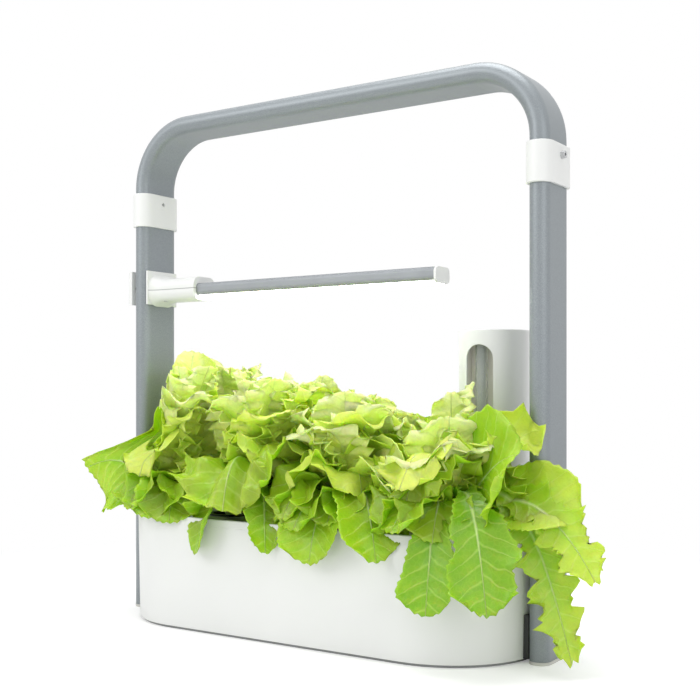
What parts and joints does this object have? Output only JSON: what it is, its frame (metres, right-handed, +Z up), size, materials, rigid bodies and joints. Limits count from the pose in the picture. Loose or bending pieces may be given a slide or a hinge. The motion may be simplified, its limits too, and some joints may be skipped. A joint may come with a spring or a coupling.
{
  "type": "countertop hydroponic garden",
  "caption": "Water planter with lettuces, an arched grey tube frame, a pump tower with a level window and a grow light that slides on one post.",
  "frame": {"origin": "on the table plane, midway between the two posts, at the centre of the planter's foot", "axes": "+Z up, +X along the planter towards the pump tower's end, +Y to the back"},
  "size_m": [0.5948, 0.2652, 0.564],
  "materials": {
    "frame_paint": "satin metallic grey paint",
    "white_plastic": "satin white ABS",
    "black_plastic": "matt black moulding",
    "grey_plastic": "matt grey moulding",
    "pale_pad": "pale moulded pad",
    "zinc_steel": "bright zinc plate",
    "spring_steel": "plain spring steel",
    "sponge_foam": "open-cell grow sponge",
    "lettuce_leaf": "fresh leaf, waxy sheen",
    "liner_plastic": "matt beige-grey moulding",
    "clear_tube": "clear tube",
    "float_plastic": "glossy orange moulding",
    "lead_rubber": "matt black rubber",
    "board_laminate": "white solder mask",
    "light_aluminium": "satin anodised",
    "lens_plastic": "opal lens",
    "led_yellow": "phosphor coat"
  },
  "bodies": {
    "base": {"left_post": "frame_paint", "right_post": "frame_paint", "arch_tube": "frame_paint", "left_collar": "white_plastic", "right_collar": "white_plastic", "left_spline": "black_plastic", "right_spline": "black_plastic", "left_post_foot": "pale_pad", "right_post_foot": "pale_pad", "left_post_saddle": "black_plastic", "right_post_saddle": "black_plastic", "nut_plates": "zinc_steel", "collar_bolts": "zinc_steel", "post_screws": "zinc_steel", "planter_shell": "white_plastic", "base_plinth": "grey_plastic", "reservoir": "grey_plastic", "tower_shell": "white_plastic", "gauge_liner": "liner_plastic", "level_tube": "clear_tube", "pump_cover": "black_plastic", "pump_housing": "black_plastic", "pump_shaft": "zinc_steel", "pump_outlet": "black_plastic", "pump_lead": "lead_rubber", "control_board": "board_laminate", "power_jack": "black_plastic"},
    "light": {"light_channel": "light_aluminium", "light_diffuser": "lens_plastic", "led_board": "board_laminate", "led_chips": "led_yellow", "light_end_cap": "white_plastic", "arm_upper_shell": "white_plastic", "arm_lower_shell": "white_plastic", "arm_screws": "zinc_steel", "clamp_ring": "white_plastic", "clamp_pad": "lead_rubber", "clamp_spring": "spring_steel", "clamp_cover": "white_plastic", "cover_screws": "zinc_steel"},
    "deck": {"grow_deck": "white_plastic", "grow_sponges": "sponge_foam", "net_pot_front_1": "black_plastic", "net_pot_front_2": "black_plastic", "net_pot_front_3": "black_plastic", "net_pot_front_4": "black_plastic", "net_pot_rear_1": "black_plastic", "net_pot_rear_2": "black_plastic", "net_pot_rear_3": "black_plastic", "lettuce_front_1": "lettuce_leaf", "lettuce_front_2": "lettuce_leaf", "lettuce_front_3": "lettuce_leaf", "lettuce_front_4": "lettuce_leaf", "lettuce_rear_1": "lettuce_leaf", "lettuce_rear_2": "lettuce_leaf", "lettuce_rear_3": "lettuce_leaf"},
    "lid": {"tower_lid": "white_plastic"},
    "float": {"level_float": "float_plastic"},
    "impeller": {"pump_impeller": "float_plastic"}
  },
  "joints": [
    {"name": "light_slide", "type": "slide", "parent": "base", "child": "light", "axis": [0, 0, 1], "range_m": [-0.04, 0.048]},
    {"name": "deck_lift", "type": "slide", "parent": "base", "child": "deck", "axis": [0, 0, 1], "range_m": [0, 0.04]},
    {"name": "lid_lift", "type": "slide", "parent": "base", "child": "lid", "axis": [0, 0, 1], "range_m": [0, 0.03]},
    {"name": "float_slide", "type": "slide", "parent": "base", "child": "float", "axis": [0, 0, 1], "range_m": [0, 0.11]},
    {"name": "impeller_spin", "type": "hinge", "parent": "base", "child": "impeller", "pos_m": [0.1745, 0.04, 0.0146], "axis": [0, 0, 1], "continuous": true}
  ]
}
